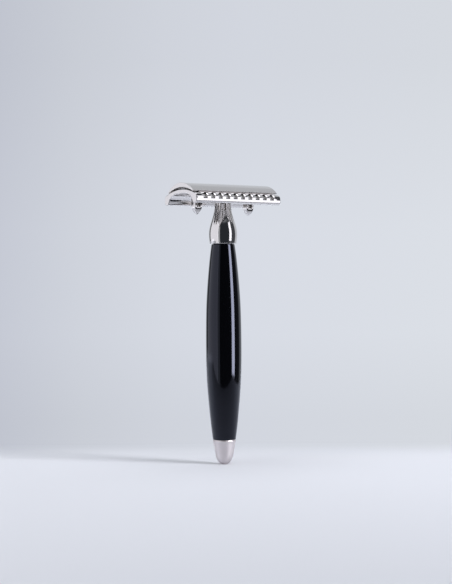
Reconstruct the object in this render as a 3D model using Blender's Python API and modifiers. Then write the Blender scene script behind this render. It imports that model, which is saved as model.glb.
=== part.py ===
"""Three-piece double-edge safety razor with a black resin handle.

Every piece is its own object. Units are metres and +Z is up. The handle's axis is Z, the head's length
lies along X, and the origin is the centre of the flat that the handle's tip stands on.
"""

import math

import bmesh
import bpy
from mathutils import Matrix, Vector

MM = 0.001

# Driving sizes. The blade is a standard pressed size, and the head is built round it.
BLADE_LENGTH = 43.0 * MM
BLADE_WIDTH = 22.0 * MM
BLADE_THICKNESS = 0.1 * MM
BLADE_EDGE_LENGTH = 37.4 * MM
BLADE_TAB_WIDTH = 15.0 * MM
BLADE_SLOT_WIDTH = 2.6 * MM
BLADE_SLOT_LENGTH = 35.0 * MM
BLADE_CENTRE_HOLE = 6.4 * MM
BLADE_SIDE_HOLE = 4.2 * MM

HEAD_LENGTH = 43.4 * MM
BASE_WIDTH = 26.0 * MM
CAP_WIDTH = 20.2 * MM
TOTAL_HEIGHT = 121.8 * MM
TIP_TOP = 10.55 * MM
GRIP_TOP = 95.75 * MM
NECK_TOP = 116.8 * MM

# Head, from the top down.
CAP_OUTER_RADIUS = 15.5 * MM
CAP_INNER_RADIUS = 23.6 * MM
CAP_CROWN = 1.9 * MM
CAP_LIP_INSET = 0.2 * MM
CAP_INNER_TOP = TOTAL_HEIGHT - CAP_CROWN
BLADE_TOP = 119.6 * MM
BLADE_BEND_RADIUS = 25.5 * MM
BASE_CROWN_TOP = 118.9 * MM
BASE_CROWN_RADIUS = 32.5 * MM
BASE_CROWN_UNDERSIDE = 117.1 * MM
BAR_BOTTOM = 112.6 * MM
END_ROUNDING = 0.3 * MM

# The scallops that turn the guard bar into a comb.
SCALLOPS = 10
SCALLOP_PITCH = 3.8 * MM
SCALLOP_FLOOR = 114.7 * MM
SCALLOP_FLOOR_WIDTH = 2.1 * MM
SCALLOP_MOUTH_WIDTH = 3.5 * MM
SCALLOP_RISE = 1.7 * MM
SCALLOP_INNER_END = 10.5 * MM
SCALLOP_CLIMB = 1.0

# Studs and what they pass through.
STUD_RADIUS = 2.5 * MM
THREAD_PITCH = 0.8 * MM
THREAD_DEPTH = 0.45 * MM
STUD_BOTTOM = 110.2 * MM
GUIDE_OFFSET = 13.4 * MM
GUIDE_RADIUS = 0.75 * MM
GUIDE_BOTTOM = 111.6 * MM
SEAT_DEPTH = 0.6 * MM
SEAT_GAP = 0.1 * MM
LOOP_WIDTH_X = 3.6 * MM
LOOP_WIDTH_Y = 3.2 * MM
LOOP_BOTTOM = 108.4 * MM
LOOP_TAPER_TOP = 111.9 * MM
LOOP_SLOT_WIDTH = 1.9 * MM
LOOP_SLOT_FLOOR = 111.1 * MM
BASE_CENTRE_HOLE = 2.85 * MM

# Handle.
GRIP_RADIUS = 7.75 * MM
GRIP_BORE = 3.7 * MM
GRIP_BOTTOM = TIP_TOP + 0.2 * MM
NECK_BOTTOM = GRIP_TOP + 0.25 * MM
NECK_RADIUS = 3.45 * MM
THREADED_BORE = 2.62 * MM
LINER_OUTER = 3.6 * MM
LINER_INNER = 2.8 * MM
WASHER_OUTER = 4.3 * MM
WASHER_THICKNESS = 0.5 * MM
RECESS_RADIUS = 4.4 * MM
ROD_TOP = 101.0 * MM
ROD_BOTTOM = 4.4 * MM
GAP = 0.2 * MM

COARSE_STEPS = 24
ROUND_STEPS = 40

MODEL = "safety_razor"
CUTTERS = "cutters"


def clear_scene():
    """Removes every object, so that only the razor is left."""
    for obj in list(bpy.data.objects):
        bpy.data.objects.remove(obj, do_unlink=True)


def make_collection(name):
    collection = bpy.data.collections.new(name)
    bpy.context.scene.collection.children.link(collection)
    return collection


def make_material(name, colour, roughness, metallic):
    """A Principled material. The colour is linear RGB."""
    material = bpy.data.materials.new(name)
    material.use_nodes = True
    shader = material.node_tree.nodes["Principled BSDF"]
    shader.inputs["Base Color"].default_value = (*colour, 1.0)
    shader.inputs["Roughness"].default_value = roughness
    shader.inputs["Metallic"].default_value = metallic
    return material


def add_object(name, mesh, collection, material=None):
    obj = bpy.data.objects.new(name, mesh)
    collection.objects.link(obj)
    if material:
        mesh.materials.clear()
        mesh.materials.append(material)
    return obj


def evaluated_mesh(obj):
    """The object's mesh with its modifiers applied, or the mesh of a curve, with its caps welded on."""
    bpy.context.view_layer.update()
    graph = bpy.context.evaluated_depsgraph_get()
    mesh = bpy.data.meshes.new_from_object(obj.evaluated_get(graph))
    work = bmesh.new()
    work.from_mesh(mesh)
    bmesh.ops.remove_doubles(work, verts=work.verts, dist=0.001 * MM)
    work.to_mesh(mesh)
    work.free()
    return mesh


def smooth(mesh, degrees=35.0):
    mesh.shade_smooth()
    mesh.set_sharp_from_angle(angle=math.radians(degrees))


def arc(centre, radius, start, end, count):
    """Points on an arc between two angles in degrees, both ends included."""
    points = []
    for step in range(count + 1):
        angle = math.radians(start + (end - start) * step / count)
        points.append((centre[0] + radius * math.cos(angle), centre[1] + radius * math.sin(angle)))
    return points


def spline(stations, per_span):
    """A smooth curve through the stations, both ends included."""
    nodes = [Vector(station) for station in stations]
    nodes.insert(0, nodes[0] * 2 - nodes[1])
    nodes.append(nodes[-1] * 2 - nodes[-2])
    points = []
    for before, first, second, after in zip(nodes, nodes[1:], nodes[2:], nodes[3:]):
        for step in range(per_span):
            t = step / per_span
            bend = 2 * before - 5 * first + 4 * second - after
            twist = 3 * (first - second) + after - before
            points.append(tuple(0.5 * (2 * first + t * (second - before) + t * t * bend + t**3 * twist)))
    points.append(tuple(nodes[-2]))
    return points


def millimetres(*pairs):
    """Points typed in millimetres, in metres."""
    return [(a * MM, b * MM) for a, b in pairs]


def turned(name, profile, collection, material, steps=ROUND_STEPS, ring=False):
    """A turned piece. The profile holds (radius, height) and runs down its outer side."""
    mesh = bpy.data.meshes.new(name)
    edges = [(i, i + 1) for i in range(len(profile) - 1)]
    if ring:
        edges.append((len(profile) - 1, 0))
    mesh.from_pydata([(radius, 0.0, height) for radius, height in profile], edges, [])
    obj = add_object(name, mesh, collection, material)
    screw = obj.modifiers.new("Turn", "SCREW")
    screw.steps = steps
    screw.render_steps = steps
    screw.use_merge_vertices = True
    screw.merge_threshold = 0.001 * MM
    turned_mesh = evaluated_mesh(obj)
    bpy.data.objects.remove(obj, do_unlink=True)
    smooth(turned_mesh)
    turned_mesh.name = name
    return add_object(name, turned_mesh, collection, material)


def extruded(name, outlines, depth, collection, material=None):
    """Flat outlines in a curve's own XY plane, the later ones holes, extruded to this depth along Z."""
    curve = bpy.data.curves.new(name, "CURVE")
    curve.dimensions = "2D"
    curve.fill_mode = "BOTH"
    curve.extrude = depth / 2
    for outline in outlines:
        line = curve.splines.new("POLY")
        line.points.add(len(outline) - 1)
        for point, place in zip(line.points, outline):
            point.co = (place[0], place[1], 0.0, 1.0)
        line.use_cyclic_u = True
    flat = add_object(name, curve, collection)
    mesh = evaluated_mesh(flat)
    bpy.data.objects.remove(flat, do_unlink=True)
    mesh.name = name
    return add_object(name, mesh, collection, material)


# Turns an outline drawn in (Y, Z), and extruded along its own Z, to lie along the head's X.
ALONG_X = Matrix(((0, 0, 1, 0), (1, 0, 0, 0), (0, 1, 0, 0), (0, 0, 0, 1)))
# The same for an outline drawn in (X, Z) and extruded along Y.
ALONG_Y = Matrix(((1, 0, 0, 0), (0, 0, -1, 0), (0, 1, 0, 0), (0, 0, 0, 1)))


def add_cutter(obj, turn, move=(0.0, 0.0, 0.0)):
    obj.data.transform(Matrix.Translation(move) @ turn)
    obj.hide_render = True
    obj.display_type = "WIRE"
    return obj


def round_cutter(name, radius, bottom, top, x, cutters, steps=COARSE_STEPS):
    """A plain upright cylinder at this place on the head's length."""
    mesh = bpy.data.meshes.new(name)
    work = bmesh.new()
    bmesh.ops.create_cone(
        work,
        cap_ends=True,
        segments=steps,
        radius1=radius,
        radius2=radius,
        depth=top - bottom,
        matrix=Matrix.Translation((x, 0.0, (top + bottom) / 2)),
    )
    work.to_mesh(mesh)
    work.free()
    return add_cutter(add_object(name, mesh, cutters), Matrix.Identity(4))


def boolean(obj, other, operation):
    modifier = obj.modifiers.new(other.name, "BOOLEAN")
    modifier.operation = operation
    modifier.solver = "EXACT"
    modifier.object = other
    return modifier


def bevelled(obj, width, segments, angle):
    bevel = obj.modifiers.new("Edges", "BEVEL")
    bevel.width = width
    bevel.segments = segments
    bevel.limit_method = "ANGLE"
    bevel.angle_limit = math.radians(angle)
    bevel.use_clamp_overlap = True
    return bevel


def symmetric(half):
    """A closed outline from its +Y half, which starts and ends on the centre line."""
    return half + [(-y, z) for y, z in reversed(half[1:-1])]


def cap_outline():
    outer_centre = (0.0, TOTAL_HEIGHT - CAP_OUTER_RADIUS)
    outer_reach = math.degrees(math.asin(CAP_WIDTH / 2 / CAP_OUTER_RADIUS))
    inner_centre = (0.0, CAP_INNER_TOP - CAP_INNER_RADIUS)
    inner_reach = math.degrees(math.asin((CAP_WIDTH / 2 - CAP_LIP_INSET) / CAP_INNER_RADIUS))
    outer = arc(outer_centre, CAP_OUTER_RADIUS, 90 - outer_reach, 90 + outer_reach, 20)
    inner = arc(inner_centre, CAP_INNER_RADIUS, 90 + inner_reach, 90 - inner_reach, 14)
    return outer + inner


def build_cap(model, cutters, material):
    cap = extruded("cap", [cap_outline()], HEAD_LENGTH, model, material)
    cap.data.transform(ALONG_X)
    bevelled(cap, 0.15 * MM, 1, 50)
    seats = (("centre", 0.0, STUD_RADIUS), ("left", -GUIDE_OFFSET, GUIDE_RADIUS), ("right", GUIDE_OFFSET, GUIDE_RADIUS))
    for side, x, radius in seats:
        seat = round_cutter(
            f"cap_seat_{side}", radius + SEAT_GAP, BLADE_TOP, CAP_INNER_TOP + SEAT_DEPTH, x, cutters
        )
        boolean(cap, seat, "DIFFERENCE")
    smooth(cap.data, 40)
    return cap


def build_centre_stud(model, material):
    """The cap's threaded stud: a turned rod whose rings follow the thread's ridge."""
    top = CAP_INNER_TOP + SEAT_DEPTH - SEAT_GAP
    thread_top = BASE_CROWN_UNDERSIDE
    rows_per_turn = 4
    root = STUD_RADIUS - THREAD_DEPTH
    rows = int((thread_top - STUD_BOTTOM) / THREAD_PITCH * rows_per_turn)
    profile = [(0.0, top), (STUD_RADIUS, top), (STUD_RADIUS, thread_top + GAP)]
    for row in range(rows + 1):
        profile.append((root, thread_top - (thread_top - STUD_BOTTOM) * row / rows))
    profile.append((0.0, STUD_BOTTOM))
    stud = turned("center_stud", profile, model, material, COARSE_STEPS)
    for vertex in stud.data.vertices:
        x, y, z = vertex.co
        radius = math.hypot(x, y)
        if abs(radius - root) > 0.01 * MM:
            continue
        phase = (z / THREAD_PITCH - math.atan2(y, x) / math.tau) % 1.0
        ridge = 1.0 - abs(2.0 * phase - 1.0)
        run_out = min(1.0, (z - STUD_BOTTOM) / THREAD_PITCH, (thread_top - z) / THREAD_PITCH)
        grown = (root + THREAD_DEPTH * ridge * max(0.0, run_out)) / radius
        vertex.co = (x * grown, y * grown, z)
    return stud


def build_guide_stud(side, x, model, material):
    top = CAP_INNER_TOP + SEAT_DEPTH - SEAT_GAP
    edge = 0.2 * MM
    profile = [
        (0.0, top),
        (GUIDE_RADIUS, top),
        (GUIDE_RADIUS, GUIDE_BOTTOM + edge),
        (GUIDE_RADIUS - edge, GUIDE_BOTTOM),
        (0.0, GUIDE_BOTTOM),
    ]
    stud = turned(f"guide_stud_{side}", profile, model, material, 16)
    stud.data.transform(Matrix.Translation((x, 0.0, 0.0)))
    return stud


def blade_outline():
    """Half the rim is written out, and the other half is its mirror image in X."""
    edge = BLADE_EDGE_LENGTH / 2
    tab = BLADE_TAB_WIDTH / 2
    corner = 1.0 * MM
    right = [(edge, -BLADE_WIDTH / 2), (edge, -tab - corner)]
    right += arc((edge + corner, -tab - corner), corner, 180, 90, 3)[1:]
    right += [(BLADE_LENGTH / 2, -tab), (BLADE_LENGTH / 2, tab)]
    right += arc((edge + corner, tab + corner), corner, 270, 180, 3)
    right += [(edge, BLADE_WIDTH / 2)]
    return right + [(-x, y) for x, y in reversed(right)]


def blade_hole():
    """The slot with its three round holes, walked once round."""
    half_slot = BLADE_SLOT_WIDTH / 2
    centre = BLADE_CENTRE_HOLE / 2
    side = BLADE_SIDE_HOLE / 2
    centre_start = math.degrees(math.asin(half_slot / centre))
    side_start = math.degrees(math.asin(half_slot / side))
    end = BLADE_SLOT_LENGTH / 2
    upper = arc((0.0, 0.0), centre, 90, centre_start, 4)
    upper += arc((GUIDE_OFFSET, 0.0), side, 180 - side_start, side_start, 8)
    upper += arc((end - half_slot, 0.0), half_slot, 90, 0, 4)
    right = upper + [(x, -y) for x, y in reversed(upper[:-1])]
    return right + [(-x, y) for x, y in reversed(right[1:-1])]


def build_blade(model, material):
    """Cut flat, then bent over the base plate's crown as the closed head bends it."""
    blade = extruded("blade", [blade_outline(), blade_hole()], BLADE_THICKNESS, model, material)
    work = bmesh.new()
    work.from_mesh(blade.data)
    folds = 12
    for fold in range(1, folds):
        place = BLADE_WIDTH * (fold / folds - 0.5)
        geometry = list(work.verts) + list(work.edges) + list(work.faces)
        bmesh.ops.bisect_plane(work, geom=geometry, plane_co=(0, place, 0), plane_no=(0, 1, 0), dist=0.001 * MM)
    for vertex in work.verts:
        x, run, lift = vertex.co
        radius = BLADE_BEND_RADIUS + lift
        angle = run / BLADE_BEND_RADIUS
        vertex.co = (x, radius * math.sin(angle), BLADE_TOP - BLADE_BEND_RADIUS + radius * math.cos(angle))
    bmesh.ops.triangulate(work, faces=work.faces)
    work.to_mesh(blade.data)
    work.free()
    smooth(blade.data)
    return blade


def base_outline():
    """The arched section: crown, shoulder, rounded guard bar, and the hollow below."""
    shoulder = 9.6 * MM
    reach = math.degrees(math.asin(shoulder / BASE_CROWN_RADIUS))
    crown = arc((0.0, BASE_CROWN_TOP - BASE_CROWN_RADIUS), BASE_CROWN_RADIUS, 90, 90 - reach, 8)
    half = BASE_WIDTH / 2 / MM
    bottom = BAR_BOTTOM / MM
    bar = millimetres(
        (10.2, 117.2),
        (10.7, 117.02),
        (11.3, 116.92),
        (11.9, 116.75),
        (12.4, 116.4),
        (12.75, 115.9),
        (half - 0.05, 115.3),
        (half, 114.6),
        (half, 113.9),
        (half - 0.07, 113.4),
        (half - 0.35, 112.95),
        (12.2, bottom + 0.08),
        (11.4, bottom),
        (10.75, bottom + 0.02),
        (10.15, bottom + 0.22),
        (9.75, 113.4),
        (9.4, 114.2),
        (8.7, 115.05),
        (7.8, 115.75),
        (6.4, 116.4),
        (4.8, 116.85),
        (3.6, 117.03),
        (2.6, 117.08),
    )
    return symmetric(crown + spline(bar, 2) + [(0.0, BASE_CROWN_UNDERSIDE)])


def scallop_outline():
    """A flat-bottomed notch with leaning sides, closed well above the bar."""
    floor = SCALLOP_FLOOR_WIDTH / 2
    mouth = SCALLOP_MOUTH_WIDTH / 2
    top = SCALLOP_FLOOR + SCALLOP_RISE
    fillet = 0.25 * MM
    return [
        (floor - fillet, SCALLOP_FLOOR),
        (floor, SCALLOP_FLOOR + fillet),
        (mouth, top),
        (mouth, top + 1.5 * MM),
        (-mouth, top + 1.5 * MM),
        (-mouth, top),
        (-floor, SCALLOP_FLOOR + fillet),
        (fillet - floor, SCALLOP_FLOOR),
    ]


def add_scallops(base, cutters):
    """Ten notches in each guard bar, whose floors climb inwards to the shoulder."""
    reach = BASE_WIDTH / 2 + 1.0 * MM - SCALLOP_INNER_END
    for number in range(SCALLOPS):
        x = (number - (SCALLOPS - 1) / 2) * SCALLOP_PITCH
        for side, sign in (("front", -1), ("back", 1)):
            notch = extruded(f"scallop_{side}_{number + 1}", [scallop_outline()], reach, cutters)
            place = (x, sign * (SCALLOP_INNER_END + reach / 2), 0.0)
            add_cutter(notch, ALONG_Y, place)
            for vertex in notch.data.vertices:
                inward = BASE_WIDTH / 2 - abs(vertex.co.y)
                vertex.co.z += SCALLOP_CLIMB * max(0.0, inward)
            boolean(base, notch, "DIFFERENCE")


def loop_mesh(name, x):
    """A square post under the crown whose foot narrows to a blunt point, as a chain of shrinking rings."""
    work = bmesh.new()
    bmesh.ops.create_cube(work, size=1.0)
    bmesh.ops.delete(work, geom=[face for face in work.faces if face.normal.z < -0.5], context="FACES_ONLY")
    top = BASE_CROWN_UNDERSIDE + 0.5 * MM
    for vertex in work.verts:
        vertex.co.x *= LOOP_WIDTH_X
        vertex.co.y *= LOOP_WIDTH_Y
        vertex.co.z = top if vertex.co.z > 0 else LOOP_TAPER_TOP
    foot = LOOP_TAPER_TOP - LOOP_BOTTOM
    rings = 6
    width = 1.0
    for ring in range(1, rings + 1):
        down = ring / rings
        rim = [edge for edge in work.edges if edge.is_boundary]
        grown = bmesh.ops.extrude_edge_only(work, edges=rim)["geom"]
        narrow = max(0.12, 1.0 - 0.35 * down - 0.53 * down**3)
        for vertex in grown:
            if isinstance(vertex, bmesh.types.BMVert):
                vertex.co.x *= narrow / width
                vertex.co.y *= narrow / width
                vertex.co.z = LOOP_TAPER_TOP - foot * down
        width = narrow
    bmesh.ops.holes_fill(work, edges=[edge for edge in work.edges if edge.is_boundary])
    bmesh.ops.recalc_face_normals(work, faces=work.faces)
    mesh = bpy.data.meshes.new(name)
    work.to_mesh(mesh)
    work.free()
    mesh.transform(Matrix.Translation((x, 0.0, 0.0)))
    return mesh


def add_loops(base, cutters):
    """Two slotted posts below the plate, in which the cap's guide studs run."""
    half_slot = LOOP_SLOT_WIDTH / 2
    slot = [
        (-half_slot, LOOP_SLOT_FLOOR),
        (half_slot, LOOP_SLOT_FLOOR),
        (half_slot, BASE_CROWN_UNDERSIDE - 0.3 * MM),
        (-half_slot, BASE_CROWN_UNDERSIDE - 0.3 * MM),
    ]
    for side, x in (("left", -GUIDE_OFFSET), ("right", GUIDE_OFFSET)):
        post = add_cutter(add_object(f"loop_{side}", loop_mesh(f"loop_{side}", x), cutters), Matrix.Identity(4))
        boolean(base, post, "UNION")
        opening = extruded(f"loop_slot_{side}", [slot], LOOP_WIDTH_Y * 2, cutters)
        boolean(base, add_cutter(opening, ALONG_Y, (x, 0.0, 0.0)), "DIFFERENCE")
        hole = round_cutter(
            f"guide_hole_{side}", half_slot, LOOP_SLOT_FLOOR + 2 * MM, TOTAL_HEIGHT, x, cutters, 16
        )
        boolean(base, hole, "DIFFERENCE")


def build_base_plate(model, cutters, material):
    base = extruded("base_plate", [base_outline()], HEAD_LENGTH, model, material)
    base.data.transform(ALONG_X)
    bevelled(base, END_ROUNDING, 2, 60)
    add_scallops(base, cutters)
    add_loops(base, cutters)
    hole = round_cutter("centre_hole", BASE_CENTRE_HOLE, BAR_BOTTOM, TOTAL_HEIGHT, 0.0, cutters)
    boolean(base, hole, "DIFFERENCE")
    smooth(base.data, 30)
    return base


def build_neck(model, material):
    """The metal collar and neck, with a bore for the cap's stud and one for the tie rod."""
    floor = 104.5 * MM
    chamfer = 0.2 * MM
    bore = [
        (0.0, floor),
        (THREADED_BORE, floor),
        (THREADED_BORE, NECK_TOP),
        (NECK_RADIUS - chamfer, NECK_TOP),
    ]
    side = spline(
        millimetres(
            (3.45, 116.6),
            (3.45, 113.4),
            (3.6, 111.7),
            (4.0, 109.3),
            (4.6, 107.1),
            (5.4, 104.6),
            (5.98, 102.2),
            (6.16, 100.3),
            (6.13, 98.7),
            (5.98, 97.2),
            (5.84, 96.4),
        ),
        3,
    )
    recess_top = NECK_BOTTOM + 0.6 * MM
    foot = [
        (5.6 * MM, NECK_BOTTOM),
        (RECESS_RADIUS, NECK_BOTTOM),
        (RECESS_RADIUS, recess_top),
        (THREADED_BORE, recess_top),
        (THREADED_BORE, ROD_TOP + GAP),
        (0.0, ROD_TOP + GAP),
    ]
    return turned("neck", bore + side + foot, model, material)


def build_grip(model, material):
    """The barrel-shaped resin grip, bored through for the liner."""
    edge = 0.25 * MM
    side = spline(
        millimetres(
            (5.12, 95.3),
            (5.95, 88.8),
            (6.9, 78.4),
            (7.52, 67.9),
            (GRIP_RADIUS / MM, 54.0),
            (7.62, 41.0),
            (7.1, 31.0),
            (6.06, 19.1),
            (5.1, 11.1),
        ),
        4,
    )
    top = [(GRIP_BORE, GRIP_TOP), (5.12 * MM - edge, GRIP_TOP)]
    bottom = [(5.1 * MM - edge, GRIP_BOTTOM), (GRIP_BORE, GRIP_BOTTOM)]
    return turned("grip", top + side + bottom, model, material, ring=True)


def build_tip(model, material):
    """The metal end button, bored for the tie rod, with the small flat that the razor stands on."""
    recess_floor = TIP_TOP - 0.5 * MM
    bore = [
        (0.0, ROD_BOTTOM - GAP),
        (THREADED_BORE, ROD_BOTTOM - GAP),
        (THREADED_BORE, recess_floor),
        (RECESS_RADIUS, recess_floor),
        (RECESS_RADIUS, TIP_TOP),
        (4.95 * MM, TIP_TOP),
    ]
    side = spline(
        millimetres((5.08, 10.4), (4.86, 9.4), (4.38, 6.9), (3.77, 3.4), (3.05, 1.75), (2.2, 0.65), (1.2, 0.0)), 3
    )
    return turned("tip", bore + side + [(0.0, 0.0)], model, material)


def ring_profile(inner, outer, bottom, top):
    return [(inner, top), (outer, top), (outer, bottom), (inner, bottom)]


def build_handle_core(model, rod_material, liner_material, washer_material):
    """What the grip hides: the tie rod, the brass liner and a soft washer at each end of the resin."""
    edge = 0.25 * MM
    rod = [
        (0.0, ROD_TOP),
        (STUD_RADIUS - edge, ROD_TOP),
        (STUD_RADIUS, ROD_TOP - edge),
        (STUD_RADIUS, ROD_BOTTOM + edge),
        (STUD_RADIUS - edge, ROD_BOTTOM),
        (0.0, ROD_BOTTOM),
    ]
    turned("tie_rod", rod, model, rod_material, COARSE_STEPS)
    liner = ring_profile(LINER_INNER, LINER_OUTER, GRIP_BOTTOM + GAP, GRIP_TOP - GAP)
    turned("grip_liner", liner, model, liner_material, COARSE_STEPS, ring=True)
    upper = GRIP_TOP + 0.1 * MM
    washer = ring_profile(LINER_INNER, WASHER_OUTER, upper, upper + WASHER_THICKNESS)
    turned("neck_washer", washer, model, washer_material, COARSE_STEPS, ring=True)
    lower = GRIP_BOTTOM - 0.1 * MM
    washer = ring_profile(LINER_INNER, WASHER_OUTER, lower - WASHER_THICKNESS, lower)
    turned("tip_washer", washer, model, washer_material, COARSE_STEPS, ring=True)


def main():
    clear_scene()
    model = make_collection(MODEL)
    cutters = make_collection(CUTTERS)
    nickel = make_material("polished_nickel", (0.62, 0.60, 0.59), 0.08, 1.0)
    satin = make_material("satin_nickel", (0.60, 0.58, 0.57), 0.3, 1.0)
    resin = make_material("black_resin", (0.006, 0.006, 0.007), 0.12, 0.0)
    blade_steel = make_material("blade_steel", (0.55, 0.56, 0.58), 0.18, 1.0)
    stud_steel = make_material("stud_steel", (0.50, 0.49, 0.48), 0.3, 1.0)
    brass = make_material("brass", (0.70, 0.50, 0.22), 0.35, 1.0)
    fibre = make_material("washer_fibre", (0.03, 0.028, 0.026), 0.7, 0.0)

    build_cap(model, cutters, nickel)
    build_centre_stud(model, stud_steel)
    build_guide_stud("left", -GUIDE_OFFSET, model, stud_steel)
    build_guide_stud("right", GUIDE_OFFSET, model, stud_steel)
    build_blade(model, blade_steel)
    build_base_plate(model, cutters, nickel)
    build_neck(model, nickel)
    build_grip(model, resin)
    build_tip(model, satin)
    build_handle_core(model, stud_steel, brass, fibre)


main()
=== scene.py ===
"""Looks of a three-piece double-edge safety razor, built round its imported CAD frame.

Each sub-assembly is a class that holds its sizes in millimetres, models its meshes with Blender's own
operators, dresses them and hands them to the body that they ride on.
"""

import logging
import math
from collections.abc import Callable, Sequence
from dataclasses import dataclass, field
from enum import Enum

import bpy
from mathutils import Matrix, Vector


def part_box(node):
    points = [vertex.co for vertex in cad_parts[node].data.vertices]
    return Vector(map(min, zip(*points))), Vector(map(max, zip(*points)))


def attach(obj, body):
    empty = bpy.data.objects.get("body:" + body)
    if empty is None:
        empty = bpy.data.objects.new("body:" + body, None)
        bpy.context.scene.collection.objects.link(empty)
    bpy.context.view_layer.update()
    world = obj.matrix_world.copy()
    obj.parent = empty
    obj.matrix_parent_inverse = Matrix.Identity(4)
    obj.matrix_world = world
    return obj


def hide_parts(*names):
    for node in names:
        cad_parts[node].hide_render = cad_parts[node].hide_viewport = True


MM = 0.001

Point = tuple[float, float]
Link = tuple[bpy.types.Node, str]

log = logging.getLogger("razor")

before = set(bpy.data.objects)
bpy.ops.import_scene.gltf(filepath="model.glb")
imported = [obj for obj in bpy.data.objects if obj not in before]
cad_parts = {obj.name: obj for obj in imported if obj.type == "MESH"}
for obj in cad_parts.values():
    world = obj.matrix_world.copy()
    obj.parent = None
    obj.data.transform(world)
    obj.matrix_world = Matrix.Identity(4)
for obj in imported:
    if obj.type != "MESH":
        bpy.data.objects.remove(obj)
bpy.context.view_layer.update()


class Body(Enum):
    """The CAD bodies that pieces ride on."""

    HANDLE = "handle"
    BASE = "base"
    CAP = "cap"
    BLADE = "blade"


class Slot(Enum):
    """The record's material slots."""

    NICKEL = "polished_nickel"
    SATIN = "satin_nickel"
    RESIN = "black_resin"
    BLADE = "blade_steel"
    STUD = "stud_steel"
    BRASS = "brass"
    FIBRE = "washer_fibre"


# ---------------------------------------------------------------- outlines


def arc(centre: Point, radius: float, start: float, end: float, count: int) -> list[Point]:
    """Points on an arc.

    Args:
        centre: The arc's centre.
        radius: Its radius.
        start: The first angle, in degrees.
        end: The last angle, in degrees.
        count: How many equal steps it takes.

    Returns:
        The points, both ends included.
    """
    turn = (end - start) / count
    angles = [math.radians(start + turn * step) for step in range(count + 1)]
    return [(centre[0] + radius * math.cos(a), centre[1] + radius * math.sin(a)) for a in angles]


def spline(stations: Sequence[Point], per_span: int) -> list[Point]:
    """A smooth curve through some stations.

    Args:
        stations: The points that it passes through.
        per_span: How many steps it takes between two of them.

    Returns:
        The curve's points, both ends included.
    """
    nodes = [Vector(station) for station in stations]
    nodes.insert(0, nodes[0] * 2 - nodes[1])
    nodes.append(nodes[-1] * 2 - nodes[-2])
    points: list[Point] = []
    for before, first, second, after in zip(nodes, nodes[1:], nodes[2:], nodes[3:]):
        for step in range(per_span):
            t = step / per_span
            bend = 2 * before - 5 * first + 4 * second - after
            twist = 3 * (first - second) + after - before
            point = 0.5 * (2 * first + t * (second - before) + t * t * bend + t**3 * twist)
            points.append((point.x, point.y))
    points.append((nodes[-2].x, nodes[-2].y))
    return points


def rounded(corners: Sequence[Point], radius: float, steps: int = 3) -> list[Point]:
    """A chain of points with its inner corners rounded off.

    Args:
        corners: The chain's corners.
        radius: How far from each inner corner the rounding starts.
        steps: How many steps each rounding takes.

    Returns:
        The chain, with each inner corner replaced by a short curve.
    """
    points = [corners[0]]
    for before, corner, after in zip(corners, corners[1:], corners[2:]):
        middle = Vector(corner)
        back = (Vector(before) - middle).normalized() * radius
        on = (Vector(after) - middle).normalized() * radius
        for step in range(steps + 1):
            t = step / steps
            point = middle + back * (1 - t) ** 2 + on * t**2
            points.append((point.x, point.y))
    points.append(corners[-1])
    return points


# ---------------------------------------------------------------- modelling


def select_only(obj: bpy.types.Object) -> None:
    """Leaves one object selected and active."""
    bpy.ops.object.select_all(action="DESELECT")
    obj.select_set(True)
    bpy.context.view_layer.objects.active = obj


def start_vertex(name: str, place: Sequence[float]) -> bpy.types.Object:
    """A new mesh of one selected vertex, left in edit mode.

    Args:
        name: The object's name.
        place: Where the vertex is.

    Returns:
        The object.
    """
    bpy.ops.object.select_all(action="DESELECT")
    bpy.ops.mesh.primitive_plane_add(size=1.0 * MM, location=place)
    obj = bpy.context.active_object
    obj.name = name
    obj.data.name = name
    bpy.ops.object.mode_set(mode="EDIT")
    bpy.ops.mesh.select_all(action="SELECT")
    bpy.ops.mesh.merge(type="CENTER")
    return obj


def draw_chain(places: Sequence[Sequence[float]]) -> None:
    """Extrudes the selected vertex from place to place."""
    for before, after in zip(places, places[1:]):
        step = [b - a for a, b in zip(before, after)]
        bpy.ops.mesh.extrude_region_move(TRANSFORM_OT_translate={"value": step})


def close_up(obj: bpy.types.Object, inside_out: bool = False) -> bpy.types.Object:
    """Merges doubles, turns the faces out, leaves edit mode and puts the object's place in its mesh.

    Args:
        obj: The object, in edit mode.
        inside_out: Whether the faces look inwards, as a room's do.

    Returns:
        The same object.
    """
    bpy.ops.mesh.select_all(action="SELECT")
    bpy.ops.mesh.remove_doubles(threshold=0.0005 * MM)
    bpy.ops.mesh.normals_make_consistent(inside=inside_out)
    bpy.ops.object.mode_set(mode="OBJECT")
    bpy.ops.object.transform_apply(location=True, rotation=True, scale=True)
    return obj


def lathe(
    name: str, profile: Sequence[Point], steps: int = 96, ring: bool = False, inside_out: bool = False
) -> bpy.types.Object:
    """A turned piece: a profile spun once round the Z axis.

    Args:
        name: The object's name.
        profile: Its (radius, height) points, in millimetres.
        steps: How many steps the turn takes.
        ring: Whether the profile closes on itself, as a washer's does.
        inside_out: Whether the faces look at the axis.

    Returns:
        The object.
    """
    places = [(radius * MM, 0.0, height * MM) for radius, height in profile]
    if ring:
        places.append(places[0])
    obj = start_vertex(name, places[0])
    draw_chain(places)
    bpy.ops.mesh.select_all(action="SELECT")
    bpy.ops.mesh.spin(steps=steps, angle=math.tau, center=(0, 0, 0), axis=(0, 0, 1))
    return close_up(obj, inside_out)


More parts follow.
